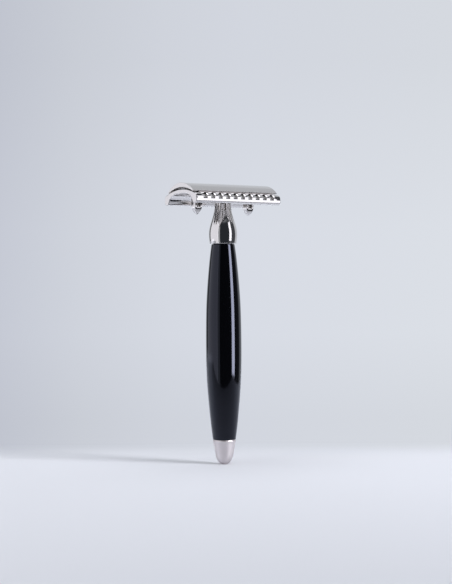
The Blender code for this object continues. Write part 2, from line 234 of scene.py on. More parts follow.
def bar_of(name: str, outline: Sequence[Point], length: float) -> bpy.types.Object:
    """A straight bar along X, with the same section all along.

    Args:
        name: The object's name.
        outline: The section's (Y, Z) points, in millimetres.
        length: The bar's length, in millimetres.

    Returns:
        The object.
    """
    start = -length / 2 * MM
    places = [(start, y * MM, z * MM) for y, z in outline]
    obj = start_vertex(name, places[0])
    draw_chain(places)
    bpy.ops.mesh.select_all(action="SELECT")
    bpy.ops.mesh.edge_face_add()
    bpy.ops.mesh.extrude_region_move(TRANSFORM_OT_translate={"value": (length * MM, 0, 0)})
    return close_up(obj)


def apply_all(obj: bpy.types.Object) -> None:
    """Applies the object's modifiers in order."""
    select_only(obj)
    for modifier in list(obj.modifiers):
        bpy.ops.object.modifier_apply(modifier=modifier.name)


def combine(obj: bpy.types.Object, other: bpy.types.Object, operation: str) -> None:
    """Joins another solid to an object, or cuts it out, and removes the other.

    Args:
        obj: The object that stays.
        other: The solid that is used up.
        operation: UNION or DIFFERENCE.
    """
    modifier = obj.modifiers.new(other.name, "BOOLEAN")
    modifier.operation = operation
    modifier.solver = "EXACT"
    modifier.object = other
    apply_all(obj)
    bpy.data.objects.remove(other, do_unlink=True)


def join(objects: Sequence[bpy.types.Object]) -> bpy.types.Object:
    """Puts several meshes in the first one's object and returns it."""
    select_only(objects[0])
    for obj in objects[1:]:
        obj.select_set(True)
    bpy.ops.object.join()
    return objects[0]


def copy_to(obj: bpy.types.Object, name: str, place: Matrix) -> bpy.types.Object:
    """A copy of an object with its own, moved mesh.

    Args:
        obj: The object to copy.
        name: The copy's name.
        place: How its mesh is moved.

    Returns:
        The copy.
    """
    select_only(obj)
    bpy.ops.object.duplicate()
    twin = bpy.context.active_object
    twin.name = name
    twin.data.name = name
    twin.data.transform(place)
    if place.determinant() < 0:
        twin.data.flip_normals()
    return twin


def round_edges(obj: bpy.types.Object, width: float, segments: int, angle: float) -> None:
    """Bevels the edges sharper than an angle.

    Args:
        obj: The object.
        width: The bevel's width, in millimetres.
        segments: How many steps it has.
        angle: The smallest angle that is bevelled, in degrees.
    """
    bevel = obj.modifiers.new("Edges", "BEVEL")
    bevel.width = width * MM
    bevel.segments = segments
    bevel.limit_method = "ANGLE"
    bevel.angle_limit = math.radians(angle)
    bevel.use_clamp_overlap = True
    apply_all(obj)


def shade(obj: bpy.types.Object, angle: float = 35.0) -> None:
    """Shades the object smooth, with edges over this angle left crisp and its larger faces kept flat."""
    select_only(obj)
    bpy.ops.object.shade_smooth_by_angle(angle=math.radians(angle))
    weighted = obj.modifiers.new("Weighted normals", "WEIGHTED_NORMAL")
    weighted.keep_sharp = True
    weighted.weight = 80
    apply_all(obj)


def move_vertices(obj: bpy.types.Object, rule: Callable[[Vector], Vector]) -> None:
    """Moves each vertex of a mesh by a rule.

    Args:
        obj: The object.
        rule: It takes a vertex's place in millimetres and returns its new place.
    """
    for vertex in obj.data.vertices:
        vertex.co = rule(vertex.co / MM) * MM
    obj.data.update()


def upright_cylinder(
    name: str, radius: float, low: float, high: float, x: float, sides: int
) -> bpy.types.Object:
    """A plain upright cylinder for cutting holes.

    Args:
        name: Its name.
        radius: Its radius, in millimetres, as are the other lengths.
        low: Its lower end.
        high: Its upper end.
        x: Where it stands on the X axis.
        sides: How many sides it has.

    Returns:
        The cylinder.
    """
    bpy.ops.object.select_all(action="DESELECT")
    bpy.ops.mesh.primitive_cylinder_add(
        vertices=sides,
        radius=radius * MM,
        depth=(high - low) * MM,
        location=(x * MM, 0, (low + high) / 2 * MM),
    )
    cylinder = bpy.context.active_object
    cylinder.name = name
    bpy.ops.object.transform_apply(location=True, rotation=True, scale=True)
    return cylinder


def block(name: str, low: Sequence[float], high: Sequence[float]) -> bpy.types.Object:
    """A plain block between two corners, in millimetres, for cutting."""
    bpy.ops.object.select_all(action="DESELECT")
    centre = [(a + b) / 2 * MM for a, b in zip(low, high)]
    bpy.ops.mesh.primitive_cube_add(size=1.0, location=centre)
    cube = bpy.context.active_object
    cube.name = name
    cube.scale = [(b - a) * MM for a, b in zip(low, high)]
    bpy.ops.object.transform_apply(location=True, rotation=True, scale=True)
    return cube


def node_span(node: str) -> tuple[Vector, Vector]:
    """A CAD node's lowest and highest corners, in millimetres."""
    low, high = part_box(node)
    return low / MM, high / MM


# ---------------------------------------------------------------- finishes


def linear(code: str) -> tuple[float, float, float, float]:
    """A linear colour from an sRGB hex code such as #D8D2CB."""
    values = [int(code[i : i + 2], 16) / 255 for i in (1, 3, 5)]
    low = [value / 12.92 for value in values]
    high = [((value + 0.055) / 1.055) ** 2.4 for value in values]
    mixed = [a if value <= 0.04045 else b for a, b, value in zip(low, high, values)]
    return (*mixed, 1.0)


def add_node(
    tree: bpy.types.NodeTree,
    kind: str,
    settings: dict[str, object] | None = None,
    values: dict[str | int, object] | None = None,
    links: dict[str | int, Link] | None = None,
) -> bpy.types.Node:
    """Adds a shader node with its settings and links.

    Args:
        tree: The node tree.
        kind: The node's type.
        settings: Properties of the node.
        values: Values of its input sockets.
        links: Inputs that are fed by another node's named output.

    Returns:
        The node.
    """
    node = tree.nodes.new(kind)
    for name, value in (settings or {}).items():
        setattr(node, name, value)
    for socket, value in (values or {}).items():
        node.inputs[socket].default_value = value
    for socket, (source, output) in (links or {}).items():
        tree.links.new(source.outputs[output], node.inputs[socket])
    return node


def set_ramp(node: bpy.types.Node, stops: Sequence[tuple[float, tuple[float, float, float, float]]]) -> None:
    """Gives a colour ramp its stops."""
    elements = node.color_ramp.elements
    while len(elements) > len(stops):
        elements.remove(elements[-1])
    while len(elements) < len(stops):
        elements.new(0.5)
    for element, (position, colour) in zip(elements, stops):
        element.position = position
        element.color = colour


def grey(value: float) -> tuple[float, float, float, float]:
    """A grey of this linear value."""
    return (value, value, value, 1.0)


def work_out(tree: bpy.types.NodeTree, operation: str, *inputs: float | Link) -> Link:
    """What a Math node makes of its inputs.

    Args:
        tree: The node tree.
        operation: The node's operation.
        *inputs: Numbers, or other nodes' named outputs.

    Returns:
        The result.
    """
    links = {socket: value for socket, value in enumerate(inputs) if isinstance(value, tuple)}
    values = {socket: value for socket, value in enumerate(inputs) if socket not in links}
    return add_node(tree, "ShaderNodeMath", {"operation": operation}, values, links), "Value"


def distance_along(tree: bpy.types.NodeTree, place: Link, direction: Vector) -> Link:
    """How far a place lies along a direction of unit length."""
    settings = {"operation": "DOT_PRODUCT"}
    return add_node(tree, "ShaderNodeVectorMath", settings, {1: direction}, {0: place}), "Value"


def remap(tree: bpy.types.NodeTree, value: Link, source: Point, target: Point, smooth: bool = False) -> Link:
    """Carries a value from one span over to another.

    Args:
        tree: The node tree.
        value: The value.
        source: The span that it comes from. Beyond its ends the result stays the same.
        target: What the span's two ends become.
        smooth: Whether the change eases in and out.

    Returns:
        The result.
    """
    settings = {"interpolation_type": "SMOOTHSTEP" if smooth else "LINEAR"}
    spans = {1: source[0], 2: source[1], 3: target[0], 4: target[1]}
    return add_node(tree, "ShaderNodeMapRange", settings, spans, {0: value}), "Result"


def bare_material(name: str) -> tuple[bpy.types.Material, bpy.types.NodeTree, Link]:
    """A new material with no shader yet.

    Args:
        name: Its name.

    Returns:
        The material, its nodes and its object coordinates.
    """
    material = bpy.data.materials.new(name)
    material.use_nodes = True
    tree = material.node_tree
    tree.nodes.clear()
    return material, tree, (add_node(tree, "ShaderNodeTexCoord"), "Object")


@dataclass(frozen=True)
class Finish:
    """A real material and how its surface was made."""

    name: str
    colour: str
    roughness: float
    metallic: float = 1.0

    def begin(self) -> tuple[bpy.types.Material, bpy.types.NodeTree, bpy.types.Node, Link]:
        """A new material.

        Returns:
            The material, its nodes, its Principled shader and its object coordinates.
        """
        material = bpy.data.materials.new(self.name)
        material.use_nodes = True
        tree = material.node_tree
        shader = tree.nodes["Principled BSDF"]
        shader.inputs["Base Color"].default_value = linear(self.colour)
        shader.inputs["Roughness"].default_value = self.roughness
        shader.inputs["Metallic"].default_value = self.metallic
        material.diffuse_color = linear(self.colour)
        material.metallic = self.metallic
        material.roughness = self.roughness
        place = add_node(tree, "ShaderNodeTexCoord")
        return material, tree, shader, (place, "Object")

    def tint(self, tree: bpy.types.NodeTree, shader: bpy.types.Node, pattern: Link, other: str) -> None:
        """Varies the base colour between the finish's own and another by a pattern.

        Args:
            tree: The node tree.
            shader: The Principled shader.
            pattern: A value from 0 to 1.
            other: The other colour.
        """
        mix = add_node(
            tree,
            "ShaderNodeMix",
            {"data_type": "RGBA"},
            {6: linear(self.colour), 7: linear(other)},
            {0: pattern},
        )
        tree.links.new(mix.outputs[2], shader.inputs["Base Color"])

    def vary_roughness(
        self, tree: bpy.types.NodeTree, shader: bpy.types.Node, pattern: Link, low: float, high: float
    ) -> None:
        """Spreads the roughness between two values by a pattern from 0 to 1."""
        spread, output = remap(tree, pattern, (0.0, 1.0), (low, high))
        tree.links.new(spread.outputs[output], shader.inputs["Roughness"])

    def raise_surface(
        self, tree: bpy.types.NodeTree, shader: bpy.types.Node, pattern: Link, height: float, strength: float
    ) -> None:
        """Turns a pattern into bump of this height in millimetres."""
        bump = add_node(
            tree,
            "ShaderNodeBump",
            None,
            {"Strength": strength, "Distance": height * MM},
            {"Height": pattern},
        )
        tree.links.new(bump.outputs["Normal"], shader.inputs["Normal"])

    def speckle(
        self,
        tree: bpy.types.NodeTree,
        place: Link,
        grain: float,
        detail: float = 3.0,
        stretch: Point = (1, 1),
    ) -> Link:
        """Cloudy noise.

        Args:
            tree: The node tree.
            place: The coordinates.
            grain: The size of a cloud, in millimetres.
            detail: How many finer layers it has.
            stretch: How much closer it repeats across X and Y, and along Z.

        Returns:
            The noise, from 0 to 1.
        """
        across, along = stretch
        mapping = add_node(
            tree, "ShaderNodeMapping", None, {"Scale": (across, across, along)}, {"Vector": place}
        )
        noise = add_node(
            tree,
            "ShaderNodeTexNoise",
            None,
            {"Scale": 1 / (grain * MM), "Detail": detail, "Roughness": 0.55},
            {"Vector": (mapping, "Vector")},
        )
        return noise, "Fac"


@dataclass(frozen=True)
class NickelPlate(Finish):
    """Polished nickel plate: a warm grey mirror with the faint haze and ripple of buffing."""

    haze_grain: float = 2.5
    ripple_grain: float = 5.0
    ripple_height: float = 0.0006

    def build(self) -> bpy.types.Material:
        """The finished material."""
        material, tree, shader, place = self.begin()
        haze = self.speckle(tree, place, self.haze_grain, 4.0)
        self.vary_roughness(tree, shader, haze, self.roughness * 0.7, self.roughness * 1.5)
        cloud = self.speckle(tree, place, self.haze_grain * 3, 2.0)
        self.tint(tree, shader, cloud, "#CFCBC8")
        ripple = self.speckle(tree, place, self.ripple_grain, 1.0)
        self.raise_surface(tree, shader, ripple, self.ripple_height, 0.5)
        return material


@dataclass(frozen=True)
class SatinNickel(Finish):
    """Satin nickel plate on a turned button: a soft glow, with the fine rings of turning round its axis."""

    ring_pitch: float = 0.12

    def build(self) -> bpy.types.Material:
        """The finished material."""
        material, tree, shader, place = self.begin()
        # Real turning marks are about 0.03 mm apart; these are coarser so that they show close up.
        rings = self.speckle(tree, place, self.ring_pitch, 2.0, (0.02, 1.0))
        self.vary_roughness(tree, shader, rings, self.roughness * 0.85, self.roughness * 1.2)
        cloud = self.speckle(tree, place, 3.0, 3.0)
        self.tint(tree, shader, cloud, "#D8D0CE")
        self.raise_surface(tree, shader, rings, 0.0015, 0.25)
        return material


@dataclass(frozen=True)
class TurnedResin(Finish):
    """Turned black resin, polished: deep black with a wet gloss and the faintest buffing haze."""

    haze_grain: float = 4.0

    def build(self) -> bpy.types.Material:
        """The finished material."""
        material, tree, shader, place = self.begin()
        shader.inputs["IOR"].default_value = 1.46
        shader.inputs["Specular Tint"].default_value = linear("#E4E8FF")
        haze = self.speckle(tree, place, self.haze_grain, 5.0, (1.0, 0.4))
        self.vary_roughness(tree, shader, haze, self.roughness * 0.7, self.roughness * 1.4)
        depth = self.speckle(tree, place, self.haze_grain * 2, 2.0)
        self.tint(tree, shader, depth, "#050506")
        # Buffing follows the turned form, so its ripples run round the grip.
        ripple = self.speckle(tree, place, 6.0, 1.0, (0.4, 1.0))
        self.raise_surface(tree, shader, ripple, 0.0008, 0.5)
        return material


@dataclass(frozen=True)
class GroundStrip(Finish):
    """Stainless strip for blades: cool grey, rolled along its length and ground bright at its edges."""

    line_pitch: float = 0.15

    def build(self) -> bpy.types.Material:
        """The finished material."""
        material, tree, shader, place = self.begin()
        mapping = add_node(tree, "ShaderNodeMapping", None, {"Scale": (0.03, 1.0, 1.0)}, {"Vector": place})
        lines = add_node(
            tree,
            "ShaderNodeTexNoise",
            None,
            {"Scale": 1 / (self.line_pitch * MM), "Detail": 3.0},
            {"Vector": (mapping, "Vector")},
        )
        self.vary_roughness(tree, shader, (lines, "Fac"), self.roughness * 0.7, self.roughness * 1.4)
        self.tint(tree, shader, (lines, "Fac"), "#98928F")
        self.raise_surface(tree, shader, (lines, "Fac"), 0.0008, 0.3)
        return material


@dataclass(frozen=True)
class MachinedMetal(Finish):
    """Machined bar or drawn tube: a clean cut metal with fine marks round its axis and darker clouds."""

    shadow_colour: str = "#8E8A85"
    mark_pitch: float = 0.1

    def build(self) -> bpy.types.Material:
        """The finished material."""
        material, tree, shader, place = self.begin()
        marks = self.speckle(tree, place, self.mark_pitch, 2.0, (0.05, 1.0))
        self.vary_roughness(tree, shader, marks, self.roughness * 0.75, self.roughness * 1.3)
        cloud = self.speckle(tree, place, 1.5, 4.0)
        darker = remap(tree, cloud, (0.45, 0.8), (0.0, 0.5))
        self.tint(tree, shader, darker, self.shadow_colour)
        self.raise_surface(tree, shader, marks, 0.002, 0.3)
        return material


@dataclass(frozen=True)
class VulcanisedFibre(Finish):
    """Vulcanised fibre washer: matt and dark, with a short felted grain."""

    def build(self) -> bpy.types.Material:
        """The finished material."""
        material, tree, shader, place = self.begin()
        grain = self.speckle(tree, place, 0.25, 5.0)
        self.tint(tree, shader, grain, "#3A342E")
        self.vary_roughness(tree, shader, grain, 0.6, 0.85)
        self.raise_surface(tree, shader, grain, 0.02, 0.5)
        return material


@dataclass(frozen=True)
class Finishes:
    """The razor's materials, each built once."""

    nickel: bpy.types.Material
    satin: bpy.types.Material
    resin: bpy.types.Material
    blade: bpy.types.Material
    steel: bpy.types.Material
    brass: bpy.types.Material
    fibre: bpy.types.Material

    @classmethod
    def build(cls) -> "Finishes":
        """Builds every finish."""
        return cls(
            nickel=NickelPlate("polished nickel plate", "#D4D0CD", 0.08).build(),
            satin=SatinNickel("satin nickel plate", "#E0D8D6", 0.44).build(),
            resin=TurnedResin("turned black resin", "#020203", 0.07, 0.0).build(),
            blade=GroundStrip("ground stainless strip", "#A7A19E", 0.16).build(),
            steel=MachinedMetal("machined steel", "#B9B5B0", 0.28).build(),
            brass=MachinedMetal("drawn brass tube", "#D9B673", 0.32, 1.0, "#A98A55").build(),
            fibre=VulcanisedFibre("vulcanised fibre", "#221F1C", 0.75, 0.0).build(),
        )


def hand_over(
    obj: bpy.types.Object,
    node: str,
    body: Body,
    material: bpy.types.Material,
) -> None:
    """Dresses a finished piece and puts it in its CAD node's place.

    Args:
        obj: The piece.
        node: The CAD node that it stands for.
        body: The body that it rides on.
        material: Its material.
    """
    obj.name = f"{node}_piece"
    obj.data.name = obj.name
    obj.data.materials.clear()
    obj.data.materials.append(material)
    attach(obj, body.value)
    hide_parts(node)
    log.info("%s: %d faces, rides on %s", obj.name, len(obj.data.polygons), body.value)


# ---------------------------------------------------------------- head


@dataclass
class CapPlate:
    """The arched cap: a crescent in section, thick at its crown and thin at the lips that hold the blade."""

    outer_radius: float = 15.5
    inner_radius: float = 23.75
    crown: float = 1.98
    lip_inset: float = 0.12
    edge_rounding: float = 0.1
    seat_depth: float = 0.6
    low: Vector = field(default_factory=lambda: node_span("cap")[0])
    high: Vector = field(default_factory=lambda: node_span("cap")[1])

    def outline(self) -> list[Point]:
        """The crescent's (Y, Z) points, walked round from the +Y lip."""
        half = (self.high.y - self.low.y) / 2
        outer_reach = math.degrees(math.asin(half / self.outer_radius))
        inner_reach = math.degrees(math.asin((half - self.lip_inset) / self.inner_radius))
        top = self.high.z
        outer = arc((0, top - self.outer_radius), self.outer_radius, 90 - outer_reach, 90 + outer_reach, 56)
        inner_top = top - self.crown - self.inner_radius
        inner = arc((0, inner_top), self.inner_radius, 90 + inner_reach, 90 - inner_reach, 36)
        return outer + inner

    def build(self, finishes: Finishes) -> None:
        """Models the cap, with the seats that its studs are fixed in."""
        cap = bar_of("cap", self.outline(), self.high.x - self.low.x)
        round_edges(cap, self.edge_rounding, 3, 35)
        under = self.high.z - self.crown
        seats = [
            upright_cylinder("seat", radius, under - 2, under + self.seat_depth, x, 48)
            for radius, x in ((2.52, 0.0), (0.77, -Posts.offset), (0.77, Posts.offset))
        ]
        combine(cap, join(seats), "DIFFERENCE")
        shade(cap, 32)
        hand_over(cap, "cap", Body.CAP, finishes.nickel)


@dataclass
class Studs:
    """The cap's threaded stud and its two guide studs."""

    thread_pitch: float = 0.8
    thread_depth: float = 0.46
    rows_per_turn: int = 12
    shank: float = 3.0

    def thread(self, obj: bpy.types.Object, root: float, low: float, high: float) -> None:
        """Raises a right-hand ridge on a turned rod's root surface.

        Args:
            obj: The rod.
            root: The radius of its root, in millimetres.
            low: Where the thread starts.
            high: Where the thread ends.
        """

        def ridge(place: Vector) -> Vector:
            radius = math.hypot(place.x, place.y)
            if abs(radius - root) > 0.004 or not low - 0.01 <= place.z <= high + 0.01:
                return place
            phase = (place.z / self.thread_pitch - math.atan2(place.y, place.x) / math.tau) % 1.0
            height = min(1.0, max(0.0, 1.35 - abs(2.0 * phase - 1.0) * 1.9))
            turns_in = min(place.z - low, high - place.z) / self.thread_pitch
            ends = max(0.0, min(1.0, turns_in))
            grown = (root + self.thread_depth * height * ends) / radius
            return Vector((place.x * grown, place.y * grown, place.z))

        move_vertices(obj, ridge)

    def rod(
        self, name: str, radius: float, low: float, high: float, threads: Sequence[Point]
    ) -> bpy.types.Object:
        """A turned rod with rolled threads.

        Args:
            name: Its name.
            radius: Its radius, in millimetres, as are the other lengths.
            low: Its lower end.
            high: Its upper end.
            threads: The lowest and highest place of each thread, from the top down.

        Returns:
            The rod.
        """
        root = radius - self.thread_depth
        profile: list[Point] = [(0.0, high), (root - 0.1, high)]
        plain = high
        for bottom, top in threads:
            if top < plain - 0.3:
                profile += [(radius - 0.15, plain), (radius, plain - 0.15), (radius, top + 0.3)]
            rows = round((top - bottom) / self.thread_pitch * self.rows_per_turn)
            profile += [(root, top - (top - bottom) * row / rows) for row in range(rows + 1)]
            plain = bottom
        if plain > low + 0.3:
            profile += [(radius, plain - 0.3), (radius, low + 0.15), (radius - 0.15, low)]
        else:
            profile.append((root - 0.2, low))
        profile.append((0.0, low))
        stud = lathe(name, profile, 64)
        for bottom, top in threads:
            self.thread(stud, root, bottom, top)
        return stud

    def build(self, finishes: Finishes) -> None:
        """Models the three studs."""
        low, high = node_span("center_stud")
        radius = (high.x - low.x) / 2
        centre = self.rod("center_stud", radius, low.z, high.z, [(low.z + 0.15, high.z - self.shank)])
        shade(centre, 40)
        hand_over(centre, "center_stud", Body.CAP, finishes.steel)
        for node in ("guide_stud_left", "guide_stud_right"):
            low, high = node_span(node)
            radius = (high.x - low.x) / 2
            nose = [(radius, low.z + 0.5), (radius * 0.92, low.z + 0.2), (radius * 0.62, low.z), (0.0, low.z)]
            profile = rounded([(0.0, high.z), (radius, high.z), *nose], 0.08, 2)
            stud = lathe(node, profile, 40)
            stud.data.transform(Matrix.Translation(((low.x + high.x) / 2 * MM, 0, 0)))
            shade(stud, 40)
            hand_over(stud, node, Body.CAP, finishes.steel)


@dataclass
class Blade:
    """The double-edge blade: pressed from strip, ground to a V at both edges, bent by the closed head."""

    length: float = 43.0
    width: float = 22.0
    thickness: float = 0.1
    edge_length: float = 37.4
    tab_width: float = 15.0
    slot_width: float = 2.6
    slot_length: float = 35.0
    centre_hole: float = 6.4
    side_hole: float = 4.2
    bend_radius: float = 25.5
    ground: float = 0.75
    top: float = 119.6

    def blank(self) -> bpy.types.Object:
        """The flat blade at the origin, cut to shape."""
        half = Vector((self.length / 2, self.width / 2, self.thickness / 2))
        blank = block("blade", -half, half)
        tab = self.tab_width / 2
        notches = []
        for x in (-1, 1):
            for y in (-1, 1):
                inner = (x * self.edge_length / 2, y * tab)
                outer = (x * (half.x + 1), y * (half.y + 1))
                low = (min(inner[0], outer[0]), min(inner[1], outer[1]), -1)
                high = (max(inner[0], outer[0]), max(inner[1], outer[1]), 1)
                notch = block("notch", low, high)
                round_edges(notch, 0.8, 4, 60)
                notches.append(notch)
        combine(blank, join(notches), "DIFFERENCE")
        slot = self.slot_width / 2
        end = self.slot_length / 2 - slot
        combine(blank, block("slot", (-end, -slot, -1), (end, slot, 1)), "DIFFERENCE")
        holes = ((self.centre_hole, 0.0), (self.side_hole, -Posts.offset), (self.side_hole, Posts.offset))
        rounds = [upright_cylinder("hole", across / 2, -1, 1, x, 40) for across, x in holes]
        ends = [upright_cylinder("hole", slot, -1, 1, x, 24) for x in (-end, end)]
        for cutter in rounds + ends:
            combine(blank, cutter, "DIFFERENCE")
        return blank

    def slice(self, blank: bpy.types.Object) -> None:
        """Cuts the blank into strips along its length, so that it can bend."""
        select_only(blank)
        bpy.ops.object.mode_set(mode="EDIT")
        half = self.width / 2
        cuts = [half * step / 16 for step in range(-15, 16)]
        for cut in [*cuts, self.ground - half, half - self.ground]:
            bpy.ops.mesh.select_all(action="SELECT")
            bpy.ops.mesh.bisect(plane_co=(0, cut * MM, 0), plane_no=(0, 1, 0))
        bpy.ops.mesh.select_all(action="SELECT")
        bpy.ops.mesh.remove_doubles(threshold=0.0005 * MM)
        bpy.ops.object.mode_set(mode="OBJECT")

    def bend(self, place: Vector) -> Vector:
        """Where a point of the flat blade is once its edges are ground and it is bent."""
        from_edge = self.width / 2 - abs(place.y)
        lift = place.z * min(1.0, 0.12 + 0.88 * max(0.0, from_edge) / self.ground)
        angle = place.y / self.bend_radius
        radius = self.bend_radius + lift
        height = self.top - self.bend_radius + radius * math.cos(angle)
        return Vector((place.x, radius * math.sin(angle), height))

    def build(self, finishes: Finishes) -> None:
        """Models the blade."""
        blade = self.blank()
        self.slice(blade)
        move_vertices(blade, self.bend)
        shade(blade, 20)
        hand_over(blade, "blade", Body.BLADE, finishes.blade)


@dataclass
class Posts:
    """The base plate's two slotted posts, in which the cap's guide studs run."""

    offset = 13.4
    width: float = 3.6
    depth: float = 3.2
    foot: float = 108.4
    taper_top: float = 111.9
    top: float = 117.6
    slot_width: float = 1.9
    slot_floor: float = 111.1
    slot_top: float = 116.8
    rings: int = 10

    def post(self, x: float) -> bpy.types.Object:
        """One square post with a blunt pointed foot, standing at this place on the X axis."""
        across, along = self.width / 2, self.depth / 2
        post = block("post", (-across, -along, self.taper_top), (across, along, self.top))
        select_only(post)
        for polygon in post.data.polygons:
            polygon.select = polygon.normal.z < -0.5
        for edge in post.data.edges:
            edge.select = False
        for vertex in post.data.vertices:
            vertex.select = vertex.co.z < (self.taper_top + 1) * MM
        bpy.ops.object.mode_set(mode="EDIT")
        width = 1.0
        step = (self.taper_top - self.foot) / self.rings
        for ring in range(1, self.rings + 1):
            down = ring / self.rings
            narrow = max(0.1, 1.0 - 0.34 * down - 0.56 * down**3.2)
            height = (self.taper_top - step * ring) * MM
            bpy.ops.mesh.extrude_region_move(TRANSFORM_OT_translate={"value": (0, 0, -step * MM)})
            ratio = narrow / width
            bpy.ops.transform.resize(value=(ratio, ratio, 1), center_override=(0, 0, height))
            width = narrow
        bpy.ops.object.mode_set(mode="OBJECT")
        post.data.transform(Matrix.Translation((x * MM, 0, 0)))
        round_edges(post, 0.22, 3, 50)
        return post

    def add(self, plate: bpy.types.Object) -> None:
        """Joins the two posts to the plate and cuts their slots and holes."""
        half = self.slot_width / 2
        for x in (-self.offset, self.offset):
            combine(plate, self.post(x), "UNION")
            low = (x - half, -self.depth, self.slot_floor)
            slot = block("slot", low, (x + half, self.depth, self.slot_top))
            combine(plate, slot, "DIFFERENCE")
            hole = upright_cylinder("hole", half, self.slot_floor + 2, 122, x, 32)
            combine(plate, hole, "DIFFERENCE")


@dataclass
class GuardPlate:
    """The base plate: an arched casting with two scalloped guard bars and two posts below it."""

    crown_top: float = 118.9
    crown_radius: float = 32.5
    shoulder: float = 9.6
    underside: float = 117.1
    end_rounding: float = 0.3
    scallops: int = 10
    pitch: float = 3.8
    floor: float = 114.7
    floor_width: float = 2.1
    mouth_width: float = 3.5
    rise: float = 1.7
    climb: float = 0.8
    lip_fall: float = 3.0
    lip_depth: float = 0.3
    inner_end: float = 10.3
    floor_rounding: float = 0.18
    centre_hole: float = 2.85
    low: Vector = field(default_factory=lambda: node_span("base_plate")[0])
    high: Vector = field(default_factory=lambda: node_span("base_plate")[1])
    bottom: float = 112.6

    def outline(self) -> list[Point]:
        """The arch's (Y, Z) points: crown, shoulder, guard bar and hollow."""
        reach = math.degrees(math.asin(self.shoulder / self.crown_radius))
        crown = arc((0, self.crown_top - self.crown_radius), self.crown_radius, 90, 90 - reach, 16)
        half = self.high.y
        bottom = self.bottom
        bar = [
            (10.2, 117.27),
            (10.7, 117.06),
            (11.3, 116.92),
            (11.9, 116.75),
            (12.4, 116.4),
            (12.75, 115.9),
            (half - 0.05, 115.3),
            (half, 114.6),
            (half, 113.9),
            (half - 0.07, 113.4),
            (half - 0.35, 112.95),
            (12.2, bottom + 0.08),
            (11.4, bottom),
            (10.75, bottom + 0.02),
            (10.15, bottom + 0.22),
            (9.75, 113.4),
            (9.4, 114.2),
            (8.7, 115.05),
            (7.8, 115.75),
            (6.4, 116.4),
            (4.8, 116.85),
            (3.6, 117.03),
            (2.6, 117.08),
        ]
        side = crown + spline(bar, 6) + [(0.0, self.underside)]
        return side + [(-y, z) for y, z in reversed(side[1:-1])]

    def notch(self) -> bpy.types.Object:
        """One scallop's cutter, for the guard bar at +Y, with its floor climbing inwards."""
        half = self.high.y
        top = self.floor + self.rise
        wide = self.floor_width / 2
        cutter = block("notch", (-wide, self.inner_end, self.floor), (wide, half + 1, top))
        select_only(cutter)
        for edge in cutter.data.edges:
            ends = [cutter.data.vertices[index].co.y for index in edge.vertices]
            edge.select = abs(ends[0] - ends[1]) > 0.5 * MM
        bpy.ops.object.mode_set(mode="EDIT")
        bpy.ops.mesh.select_mode(type="EDGE")
        bpy.ops.mesh.subdivide(number_cuts=24)
        bpy.ops.mesh.select_mode(type="VERT")
        bpy.ops.object.mode_set(mode="OBJECT")

        def shape(place: Vector) -> Vector:
            lifted = place.z > self.floor + 1
            flare = self.mouth_width / self.floor_width if lifted else 1.0
            fall = 0.0 if lifted else self.lip_fall * max(0.0, place.y - half + self.lip_depth) ** 2
            return Vector((place.x * flare, place.y, place.z + self.climb * (half - place.y) - fall))

        move_vertices(cutter, shape)
        round_edges(cutter, self.floor_rounding, 3, 45)
        return cutter

    def add_scallops(self, plate: bpy.types.Object) -> None:
        """Cuts the row of scallops in each guard bar."""
        first = self.notch()
        mirror = Matrix.Scale(-1, 4, (0, 1, 0))
        cutters = []
        for number in range(self.scallops):
            place = Matrix.Translation(((number - (self.scallops - 1) / 2) * self.pitch * MM, 0, 0))
            cutters.append(copy_to(first, "scallop", place))
            cutters.append(copy_to(first, "scallop", mirror @ place))
        bpy.data.objects.remove(first, do_unlink=True)
        combine(plate, join(cutters), "DIFFERENCE")

    def build(self, finishes: Finishes) -> None:
        """Models the plate."""
        plate = bar_of("base_plate", self.outline(), self.high.x - self.low.x)
        round_edges(plate, self.end_rounding, 4, 60)
        self.add_scallops(plate)
        Posts().add(plate)
        hole = upright_cylinder("hole", self.centre_hole, self.bottom, 122, 0.0, 64)
        combine(plate, hole, "DIFFERENCE")
        shade(plate, 30)
        hand_over(plate, "base_plate", Body.BASE, finishes.nickel)


# ---------------------------------------------------------------- handle


@dataclass
class Neck:
    """The nickel-plated neck and collar, bored for the stud above and the tie rod below."""

    bore: float = 2.55
    bore_floor: float = 104.5
    rod_bore_top: float = 101.2
    recess: float = 4.4
    recess_depth: float = 0.6
    stations: tuple[Point, ...] = (
        (3.45, 116.5),
        (3.45, 113.4),
        (3.6, 111.7),
        (4.0, 109.3),
        (4.6, 107.1),
        (5.4, 104.6),
        (5.98, 102.2),
        (6.16, 100.3),
        (6.13, 98.7),
        (5.98, 97.2),
        (5.84, 96.3),
    )

    def build(self, finishes: Finishes) -> None:
        """Models the neck."""
        low, high = node_span("neck")
        foot = low.z - 0.1
        bore = [(0.0, self.bore_floor), (self.bore, self.bore_floor), (self.bore, high.z - 0.3)]
        rim = [(self.bore + 0.25, high.z), (3.2, high.z), (3.38, high.z - 0.08)]
        side = spline(self.stations, 8)
        lip = [(5.8, foot + 0.14), (5.7, foot + 0.03), (5.55, foot)]
        recess_top = foot + self.recess_depth
        socket = [
            (self.recess, foot),
            (self.recess, recess_top),
            (self.bore, recess_top),
            (self.bore, self.rod_bore_top),
            (0.0, self.rod_bore_top),
        ]
        neck = lathe("neck", bore + rim + side + lip + socket, 128)
        shade(neck, 32)
        hand_over(neck, "neck", Body.HANDLE, finishes.nickel)


